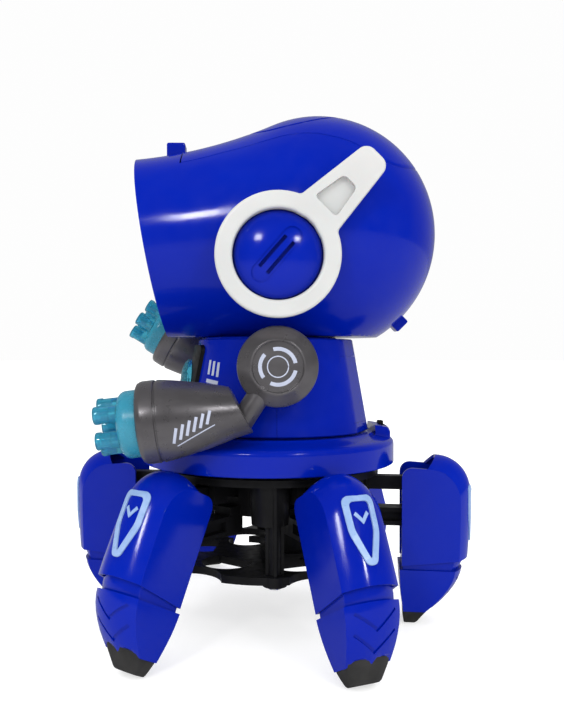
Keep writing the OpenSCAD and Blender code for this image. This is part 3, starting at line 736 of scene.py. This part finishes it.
def make_ear_cap(side, name):
    place = ear_place(side)
    rim = cos(radians(CAP_SPAN))
    angles = [radians(CAP_SPAN - 1.5 * i) for i in range(19)]
    dome = [(CAP_CURVE * sin(a), 2 + CAP_CURVE * (cos(a) - rim)) for a in angles]
    edge = (dome[0][0] - 0.35, dome[0][1])
    profile = [(0, -1.5), (16.2, -1.5), (16.9, -0.9), edge] + dome[1:]
    cap = make_object(name, revolve(profile, 128), "blue_shell", place)
    turn = place @ turned(49, "Z")
    stadium = arc((8.8, 0.3), 3.9, -90, 90, 16) + arc((-9.6, 0.3), 3.9, 90, 270, 16)
    recess = tool(prism(stadium, 2.5, 9), turn)
    boolean(recess, tool(revolve([(r, z - 0.6) for r, z in profile], 128), place))
    boolean(cap, recess)
    for offset in (2.3, -1.7):
        slot = rounded(rectangle(-8.4, offset - 0.75, 7.4, offset + 0.75), 0.4)
        boolean(cap, tool(prism(slot, 1.8, 9), turn))
    soften(cap, 0.2, 2, 35)
    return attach(cap, "head")


def make_face():
    """Dark domed visor with two lit, rounded eyes just proud of it."""
    place = FACE_PLACE @ moved(0, 9, VISOR_DROP) @ turned(90, "X")
    angles = [radians(29.8 - 1.4 * i) for i in range(21)]
    dome = [(VISOR_CURVE * sin(a), VISOR_CURVE * cos(a) - VISOR_SINK) for a in angles]
    profile = [(0, -3.4), (32.2, -3.4), (32.8, -2.8)] + dome + [(0, VISOR_CURVE - VISOR_SINK)]
    visor = make_object("visor_dome", revolve(profile, 128), "dark_visor", place)
    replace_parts(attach(soften(visor, 0, 1, 40), "head"), "visor")

    def dome_surface(a, b, height):
        return Vector((a, b, sqrt(VISOR_CURVE ** 2 - a * a - b * b) - VISOR_SINK + height))

    rings = []
    for x in (-EYE_X, EYE_X):
        outline = rounded(rectangle(x - 6.5, EYE_Z - 4.5, x + 6.5, EYE_Z + 4.5), 4.5, 8)
        centre = [(x + (a - x) * 0.45, EYE_Z + (b - EYE_Z) * 0.45) for a, b in outline]
        rings.append(band(outline, centre, dome_surface, -0.3, 0.35))
    eyes = make_object("eyes", joined(*rings), "lit_cyan", place)
    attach(soften(eyes, 0.15, 2, 40), "head")


make_head()
make_face()
for side, tag in SIDES:
    make_headset(side, f"headset_{tag}")
    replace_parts(make_ear_cap(side, f"ear_cap_{tag}"), "ear_caps")


# ---------- arms ----------

ARM_X = 54.5
AXLE_Y, AXLE_Z = 2.5, 115.0
RIGHT_LIFT = 38
CASING_FRONT = (-51, 93)
CASING_DROOP = 6.5
CASING_PROFILE = [
    (0, 0.2), (13.4, 0.2), (14.6, 0), (15.5, 0.5), (16.1, 1.7), (16.2, 2.6), (16.2, 6.6), (16.0, 7.0),
    (15.5, 7.15), (15.5, 7.75), (15.9, 7.9), (16.1, 8.4), (15.75, 11), (15.3, 13.8), (14.75, 16.8),
    (14.1, 20), (13.3, 24), (12.35, 28), (11.3, 32), (10.1, 36), (9.1, 41), (8, 46), (0, 46)]
DISC_FACE = 56.35
DISC_PROFILE = [
    (0, 43.5), (14.6, 43.5), (15.7, 43.9), (16.2, 45), (16.2, 52), (16.0, 52.9), (15.4, 53.6), (11.6, 56.7),
    (11.2, 56.95), (10.8, 57.2), (10.3, 57.2), (10.05, 56.9), (10.0, DISC_FACE), (0, DISC_FACE)]
NECK_TILT = -33
NECK_RADIUS = 4.6
BARRELS = 5
BARREL_CIRCLE = 8.3             # radius on which the barrels stand
BARREL_PROFILE = [
    (0, 10.8), (2.1, 10.8), (2.1, 15.9), (2.35, 16.3), (2.7, 16.5), (3.1, 16.5), (3.4, 16.2), (3.5, 15.8),
    (3.5, 14.3), (3.2, 14.1), (3.2, 7.4), (0, 7.4)]
PRINT = (-0.15, 0.06)           # depth and height of the printed marks on a curved surface


def arm_place(side):
    """Identity for the left arm; mirrored and lifted for the right one."""
    if side > 0:
        return Matrix.Identity(4)
    axle = Vector((0, AXLE_Y, AXLE_Z)) * MM
    return (Matrix.Translation(axle) @ turned(-RIGHT_LIFT, "X")
            @ Matrix.Translation(-axle) @ Matrix.Diagonal((-1, 1, 1, 1)))


def neck_place(side):
    """Matrix of the neck between an arm's disc and casing, which runs down along local Z."""
    return arm_place(side) @ moved(ARM_X - 4, AXLE_Y, AXLE_Z) @ turned(NECK_TILT, "X")


def polar_band(radius, width, start, end, low, high, steps=24):
    """Closed arc band round the local Z axis, angles in degrees."""
    rings = []
    for i in range(steps + 1):
        a = radians(start + (end - start) * i / steps)
        rings.append([(r * cos(a), r * sin(a), z) for r, z in
                      ((radius - width / 2, low), (radius + width / 2, low),
                       (radius + width / 2, high), (radius - width / 2, high))])
    return loft(rings)


def make_shoulder(side, tag):
    place, body = arm_place(side), f"arm_{tag}"
    across = place @ along_x(AXLE_Y, AXLE_Z)
    shape = make_object(f"shoulder_{tag}_disc", revolve(DISC_PROFILE, 128), "grey_arm", across)
    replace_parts(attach(soften(shape, 0.2, 3, 25), body), f"shoulder_{tag}")
    axle = revolve([(0, 28), (3.6, 28), (4, 28.4), (4, 44.4), (0, 44.4)], 48)
    axle = make_object(f"shoulder_{tag}_axle", axle, "grey_arm", across)
    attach(soften(axle, 0, 1, 40), body)
    neck = rod(NECK_RADIUS, -27, -8, 64)
    neck = make_object(f"shoulder_{tag}_neck", neck, "grey_arm", neck_place(side))
    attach(soften(neck, 0, 1, 40), body)
    face = place @ outward(1, DISC_FACE, AXLE_Y, AXLE_Z)
    marks = [polar_band(7.0, 1.5, *span, -0.1, 0.05) for span in ((12, 105), (137, 217), (245, 348))]
    marks.append(polar_band(4.1, 0.45, 0, 360, -0.1, 0.05, 64))
    mark = make_object(f"shoulder_{tag}_marks", joined(*marks), "pale_print", face)
    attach(soften(mark, 0, 1, 40), body)


def casing_place(side):
    """Matrix from casing coordinates (rearwards along Z) to the row frame."""
    return (arm_place(side) @ moved(ARM_X, *CASING_FRONT)
            @ turned(CASING_DROOP, "X") @ turned(-90, "X"))


def casing_radius(length):
    for (r0, z0), (r1, z1) in zip(CASING_PROFILE[1:], CASING_PROFILE[2:]):
        if z0 <= length <= z1 and z1 > z0:
            return r0 + (r1 - r0) * (length - z0) / (z1 - z0)
    return CASING_PROFILE[-2][0]


def casing_surface(length, around, height):
    """Point on the casing's outer side: length behind the front, millimetres round from its middle line."""
    r = casing_radius(length) + height
    a = around / 13.0
    return Vector((r * cos(a), r * sin(a), length))


def make_forearm(side, tag):
    place, body = casing_place(side), f"arm_{tag}"
    casing = make_object(f"forearm_{tag}_casing", revolve(CASING_PROFILE, 128), "grey_arm", place)
    rear_place = arm_place(side) @ moved(0, -10.5, 95.5) @ turned(28.3, "X")
    boolean(casing, solid_box((0, 0, -60), (120, 60, 60), rear_place))
    socket = rod(NECK_RADIUS + 0.15, -27.4, -4, 64)
    boolean(casing, make_object("cut", socket, "grey_arm", neck_place(side)))
    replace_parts(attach(soften(casing, 0.45, 3, 32), body), f"forearm_{tag}")
    stripes = []
    for i in range(6):
        start, drop = 13.5 + 2.6 * i, 0.95 * i
        stripes.append(strip((start, 7.2 - drop), (start + 1.6, 2.0 - drop), 1.1, casing_surface, *PRINT))
    stripes.append(strip((14.6, 8.6), (29.4, 3.2), 0.45, casing_surface, *PRINT, 14))
    mark = make_object(f"forearm_{tag}_marks", joined(*stripes), "pale_print", place)
    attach(soften(mark, 0, 1, 40), body)


def make_gun(side, tag):
    place = casing_place(side) @ turned(180, "X")
    hub = [(0, -0.1), (13.2, -0.1), (13.2, 4.0)] + arc((9.6, 4.2), 3.6, 3, 78, 8) + [(9.6, 8.0), (0, 8.3)]
    body = f"arm_{tag}"
    shape = make_object(f"gun_{tag}_hub", revolve(hub, 96), "frosted_cyan", place)
    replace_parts(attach(soften(shape, 0, 1, 40), body), f"gun_{tag}")
    tubes = []
    for i in range(BARRELS):
        a = radians(38 + 360 / BARRELS * i)
        dx, dy = BARREL_CIRCLE * cos(a), BARREL_CIRCLE * sin(a)
        verts, faces = revolve(BARREL_PROFILE, 40)
        tubes.append(([(x + dx, y + dy, z) for x, y, z in verts], faces))
    tubes = make_object(f"gun_{tag}_barrels", joined(*tubes), "clear_cyan", place)
    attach(soften(tubes, 0, 1, 30), body)


for side, tag in SIDES:
    make_shoulder(side, tag)
    make_forearm(side, tag)
    make_gun(side, tag)


# ---------- torso ----------

TORSO_Y = 3.0
TORSO_LOW, TORSO_HIGH = 85.5, 126.6
TORSO_R0, TORSO_R1 = 42.5, 35.2
TORSO_FACETS = ((55, 80), (80, 100), (100, 125))    # flat stretches of the back, degrees from +X
DOOR_HALF, DOOR_LOW, DOOR_HIGH = 25.0, 90.0, 119.0
DOOR_GAP = 0.06
SCREW_Z = DOOR_HIGH - 5
LENS_Z = 105.0
LENS_FLUTES = 28
LENS_LEVELS = [                 # radius, distance out, depth of the flutes
    (12.4, 22.0, 0), (12.5, 38.6, 0), (12.3, 39.4, 0.25), (11.2, 40.6, 0.3), (9.4, 41.8, 0.2),
    (6.8, 42.6, 0), (3.6, 43.1, 0), (0.4, 43.3, 0)]
WAIST_BORE = 12.06


def torso_radius(z):
    return TORSO_R0 + (TORSO_R1 - TORSO_R0) * (z - TORSO_LOW) / (TORSO_HIGH - TORSO_LOW)


def torso_ring(z, grow, steps=180):
    """Round section of the torso, with its back flattened into facets."""
    ring = []
    for i in range(steps):
        angle = 360 * i / steps
        share = 1.0
        for start, end in TORSO_FACETS:
            if start <= angle <= end:
                half, middle = radians(end - start) / 2, radians(start + end) / 2
                share = cos(half) / cos(radians(angle) - middle)
        r = (torso_radius(z) + grow) * share
        ring.append((r * cos(radians(angle)), TORSO_Y + r * sin(radians(angle)), z))
    return ring


def torso_solid(name, grow, low, high, edge=0.0):
    """Torso between two heights, grown by a distance."""
    rings = [torso_ring(low, grow - edge)] if edge else []
    rings += [torso_ring(low + edge + (high - low - 2 * edge) * i / 8, grow) for i in range(9)]
    rings += [torso_ring(high, grow - edge)] if edge else []
    return make_object(name, loft(rings), "blue_shell")


def upright_bar(radius, low, high):
    """Scratch round bar on the waist axis with bevelled ends."""
    return tool(bevelled_rod(radius, low, high, 0.5))


def forward_bar(radius, back, front, z):
    """Scratch round bar along Y between two depths."""
    return tool(rod(radius, -back, -front), moved(0, 0, z) @ turned(90, "X"))


def make_torso():
    shell = torso_solid("torso_shell", 0, TORSO_LOW, TORSO_HIGH, 0.5)
    for side in (-1, 1):
        x0, x1 = sorted((side * 30, side * 42.8))
        boolean(shell, bar_across(11, x0, x1, AXLE_Y, AXLE_Z), "UNION")
    boolean(shell, upright_bar(13, TORSO_HIGH - 1, TORSO_HIGH + 7), "UNION")
    boolean(shell, upright_bar(31, TORSO_HIGH - 1, TORSO_HIGH + 0.8), "UNION")
    boolean(shell, torso_solid("cut", -SHELL_WALL, TORSO_LOW + 2.2, TORSO_HIGH - 2.2))
    boolean(shell, upright_bar(10, TORSO_HIGH - 5, TORSO_HIGH + 20))
    boolean(shell, upright_bar(WAIST_BORE, TORSO_LOW - 5, TORSO_LOW + 9))
    boolean(shell, forward_bar(12.8, -10, -60, LENS_Z))
    boolean(shell, solid_box((-DOOR_HALF - DOOR_GAP, 20, DOOR_LOW - DOOR_GAP),
                             (DOOR_HALF + DOOR_GAP, 80, DOOR_HIGH + DOOR_GAP)))
    boolean(shell, solid_box((-60, AXLE_Y - DOOR_GAP, 80), (60, AXLE_Y + DOOR_GAP, 104.5)))
    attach(soften(shell, 0.25, 2, 30), "torso")
    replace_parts(shell, "torso_front")
    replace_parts(shell, "torso_rear")


def make_battery_door():
    door = torso_solid("battery_door_cover", 0, TORSO_LOW, TORSO_HIGH)
    boolean(door, torso_solid("cut", -SHELL_WALL, TORSO_LOW - 2, TORSO_HIGH + 2))
    boolean(door, solid_box((-DOOR_HALF, 25, DOOR_LOW), (DOOR_HALF, 80, DOOR_HIGH)), "INTERSECT")
    for x in (-6, -3, 0, 3, 6):
        boolean(door, solid_box((x - 0.5, 41.6, DOOR_LOW + 3), (x + 0.5, 50, DOOR_LOW + 10)))
    boolean(door, forward_bar(2.7, 60, 38.6, SCREW_Z))
    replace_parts(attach(soften(door, 0.3, 2, 30), "torso"), "battery_door")
    place = moved(0, 0, SCREW_Z) @ turned(-90, "X")
    profile = [(0, 36.5), (1.2, 36.5), (1.2, 37.6), (2.4, 37.6), (2.4, 38.4), (2.1, 38.9), (0, 39.2)]
    screw = make_object("battery_door_screw", revolve(profile, 48), "steel", place)
    for w, h in ((1.6, 0.25), (0.25, 1.6)):
        boolean(screw, solid_box((-w, 38.4, SCREW_Z - h), (w, 41, SCREW_Z + h)))
    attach(soften(screw, 0, 1, 35), "torso")


def make_chest_lens():
    """Domed lens with a fluted flank, so that its edge sparkles."""
    rings = []
    for radius, out, flute in LENS_LEVELS:
        wavy = [(radius + flute * cos(LENS_FLUTES * a), a) for a in full_turn(8 * LENS_FLUTES)]
        rings.append([(r * cos(a), r * sin(a), out) for r, a in wavy])
    place = moved(0, 2.3, LENS_Z) @ turned(90, "X")
    lens = make_object("chest_lens_dome", loft(rings), "clear_cyan", place)
    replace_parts(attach(soften(lens, 0, 1, 50), "torso"), "chest_lens")


def torso_surface(side):
    """Surface of the torso for marks: millimetres round from the front, and height."""
    def point(around, z, height):
        r = torso_radius(z) + height
        a = radians(-90) + side * around / 39.0
        return Vector((r * cos(a), TORSO_Y + r * sin(a), z))
    return point


def make_torso_marks():
    for side, tag in SIDES:
        surface = torso_surface(side)
        bars = []
        for i in range(3):
            x, drop = 26.5 + 3.0 * i, 0.5 * i
            bars.append(strip((x, 117.4 - drop), (x, 111.2 - drop), 1.5, surface, *PRINT))
        bars.append(strip((25.6, 108.6), (33.4, 107.6), 1.6, surface, *PRINT))
        marks = make_object(f"torso_{tag}_marks", joined(*bars), "pale_print")
        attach(soften(marks, 0, 1, 40), "torso")


make_torso()
make_battery_door()
make_chest_lens()
make_torso_marks()


# ---------- base ----------

SKIRT_PROFILE = [
    (55, 71.6), (55.3, 71.5), (56.7, 71.5), (57, 71.8), (57, 79.6), (56.9, 80.6), (56.55, 81.4),
    (55.9, 82.05), (55.1, 82.45), (54.2, 82.75), (52, 83.3), (48.6, 84), (47.5, 85),
    (WAIST_BORE, 85), (WAIST_BORE, 83), (46, 83), (54, 81.2), (55, 79)]
HUMP_LEVELS = [                 # height, distance out, half width
    (82.4, 55.5, 13), (85, 55.5, 13), (86.4, 54.9, 12.6), (87.2, 54, 12.2), (88, 49.4, 11.6)]
HUMP_FRONT = 47.4


def hump_ring(z, out, half):
    """Section of the hump on the skirt's rear: an arc whose ends run straight forward."""
    reach = asin(half / out)
    angles = [reach - 2 * reach * i / 16 for i in range(17)]
    curve = [(out * sin(a), out * cos(a), z) for a in angles]
    return [(curve[0][0], HUMP_FRONT, z), *curve, (curve[-1][0], HUMP_FRONT, z)]


def make_skirt():
    rings = [circle(r, z, 180) for r, z in SKIRT_PROFILE + SKIRT_PROFILE[:1]]
    skirt = make_object("skirt_shell", loft(rings, caps=False), "blue_shell")
    boolean(skirt, tool(loft([hump_ring(*level) for level in HUMP_LEVELS])), "UNION")
    boolean(skirt, solid_box((-6, 50.5, 84), (6, 53.5, 92)))
    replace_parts(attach(soften(skirt, 0.3, 2, 32), "base"), "skirt")


def make_motor_cover():
    """Black housing round the motor, between the base plate and the gearbox."""
    axis = nodes["drive_motor"]
    centre = sum((axis.matrix_world @ Vector(c) for c in axis.bound_box), Vector()) / 8 / MM
    profile = [(0, 30.3), (8.6, 30.3), (9.4, 31.2), (10.2, 49.8), (0, 49.8)]
    place = moved(centre.x, centre.y, 0)
    cover = make_object("motor_cover", revolve(profile, 72), "black_frame", place)
    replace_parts(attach(soften(cover, 0.3, 2, 30), "base"), "drive_motor")


def refined(name, width=0.25, angle=30):
    """Copy of a CAD part with its facets merged and its edges softened, shown in its place."""
    source = nodes[name]
    body = next(b for b, members in frame["record"]["behaviour"]["bodies"].items() if name in members)
    mesh = source.data.copy()
    tidy = bmesh.new()
    tidy.from_mesh(mesh)
    bmesh.ops.remove_doubles(tidy, verts=tidy.verts, dist=1e-6)
    bmesh.ops.dissolve_limit(tidy, angle_limit=radians(1), verts=tidy.verts, edges=tidy.edges)
    tidy.to_mesh(mesh)
    tidy.free()
    copy = add_object(f"{name}_look", mesh)
    copy.matrix_world = source.matrix_world
    soften(copy, width, 2, angle)
    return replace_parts(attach(copy, body), name)


make_skirt()
make_motor_cover()
for name in ("chassis_frame", "chest_bezel", "visor_bezel", "power_switch", "waist_post", "cam_plate"):
    refined(name)
for k in range(1, LEG_COUNT + 1):
    refined(f"push_rod_{k}", 0.2)


# ---------- camera, light and floor ----------

CAMERA_AZIMUTH = radians(89)
CAMERA_DISTANCE = 0.351
CAMERA_HEIGHT = 0.120
CAMERA_PITCH = radians(0.46)
LENS = 37.9
CAMERA_SHIFT = 0.018
WORLD_LIGHT = 1.45
REFLECTED_ROOM = (0.07, 0.32)   # brightness that reflections see, on the camera's side and behind the robot
ROOM_TURN = (-0.1, -0.7)        # directions along X between which that brightness changes
REFLECTED_FLOOR = 0.35
BACKGROUND = 0.985
FLOOR_ALBEDO = 0.55
FLOOR_GLOW = 0.6                # keeps the shadow under the robot soft
FLOOR_HALF = 12
LIGHTS = {                      # place, target and side in metres, power in watts
    "key": ((1.26, -0.56, 0.86), (0, 0, 0.14), 0.16, 4.5),
    "fill": ((1.26, 0.63, 0.82), (0, 0, 0.14), 0.13, 3.5),
    "top": ((-0.2, 0.1, 1.6), (0, 0, 0.1), 1.0, 4),
}


def make_camera():
    data = bpy.data.cameras.new("camera")
    data.lens, data.sensor_width = LENS, 36
    data.shift_x = CAMERA_SHIFT
    data.clip_start = 0.01
    camera = add_object("camera", data)
    back = Vector((sin(CAMERA_AZIMUTH), -cos(CAMERA_AZIMUTH), 0))
    camera.location = back * CAMERA_DISTANCE + Vector((0, 0, CAMERA_HEIGHT))
    gaze = -back * cos(CAMERA_PITCH) - Vector((0, 0, sin(CAMERA_PITCH)))
    camera.rotation_mode = "QUATERNION"
    camera.rotation_quaternion = gaze.to_track_quat("-Z", "Y")
    bpy.context.scene.camera = camera


def area_light(name, place, target, size, power):
    """Square light that looks at its target."""
    data = bpy.data.lights.new(name, "AREA")
    data.shape, data.size, data.size_y, data.energy = "RECTANGLE", size, size, power
    light = add_object(name, data)
    light.location = place
    light.rotation_mode = "QUATERNION"
    light.rotation_quaternion = (Vector(target) - Vector(place)).to_track_quat("-Z", "Y")
    return light


def make_world():
    """Soft light on the object. Reflections see a dimmer room, and the background itself is near white."""
    world = bpy.data.worlds.new("studio")
    bpy.context.scene.world = world
    world.use_nodes = True
    tree = world.node_tree
    path = tree.nodes.new("ShaderNodeLightPath")
    shader = tree.nodes["Background"].outputs["Background"]
    set_inputs(tree.nodes["Background"], Color=(1, 1, 1, 1), Strength=WORLD_LIGHT)
    direction = tree.nodes.new("ShaderNodeTexCoord")
    parts = tree.nodes.new("ShaderNodeSeparateXYZ")
    room = tree.nodes.new("ShaderNodeMapRange")
    set_inputs(room, From_Min=ROOM_TURN[0], From_Max=ROOM_TURN[1],
               To_Min=REFLECTED_ROOM[0], To_Max=REFLECTED_ROOM[1])
    wire(direction, "Generated", parts, "Vector")
    wire(parts, "X", room, "Value")
    for ray in ("Is Glossy Ray", "Is Camera Ray"):
        seen = tree.nodes.new("ShaderNodeBackground")
        set_inputs(seen, Color=(BACKGROUND, BACKGROUND, BACKGROUND, 1))
        if ray == "Is Glossy Ray":
            wire(room, "Result", seen, "Color")
        mix = tree.nodes.new("ShaderNodeMixShader")
        wire(path, ray, mix, "Fac")
        tree.links.new(shader, mix.inputs[1])
        wire(seen, "Background", mix, 2)
        shader = mix.outputs["Shader"]
    tree.links.new(shader, tree.nodes["World Output"].inputs["Surface"])


def make_floor():
    mesh = bpy.data.meshes.new("floor")
    corners = [(x, y, 0) for x, y in rectangle(-FLOOR_HALF, -FLOOR_HALF, FLOOR_HALF, FLOOR_HALF)]
    mesh.from_pydata(corners, [], [(0, 1, 2, 3)])
    floor = add_object("floor", mesh)
    floor.location.z = -0.0002
    mat = new_material("floor", (FLOOR_ALBEDO, FLOOR_ALBEDO, FLOOR_ALBEDO), 0.9, Specular_IOR_Level=0,
                       Emission_Color=(1, 1, 1, 1), Emission_Strength=FLOOR_GLOW)
    tree = mat.node_tree
    path = tree.nodes.new("ShaderNodeLightPath")
    dim = tree.nodes.new("ShaderNodeBsdfDiffuse")
    set_inputs(dim, Color=(REFLECTED_FLOOR, REFLECTED_FLOOR, REFLECTED_FLOOR, 1))
    mix = tree.nodes.new("ShaderNodeMixShader")
    wire(path, "Is Glossy Ray", mix, "Fac")
    wire(tree.nodes["Principled BSDF"], "BSDF", mix, 1)
    wire(dim, "BSDF", mix, 2)
    wire(mix, "Shader", tree.nodes["Material Output"], "Surface")
    mesh.materials.append(mat)


bpy.context.scene.view_settings.view_transform = "Standard"
make_camera()
make_world()
make_floor()
for name, light in LIGHTS.items():
    area_light(name, *light).visible_glossy = name != "top"
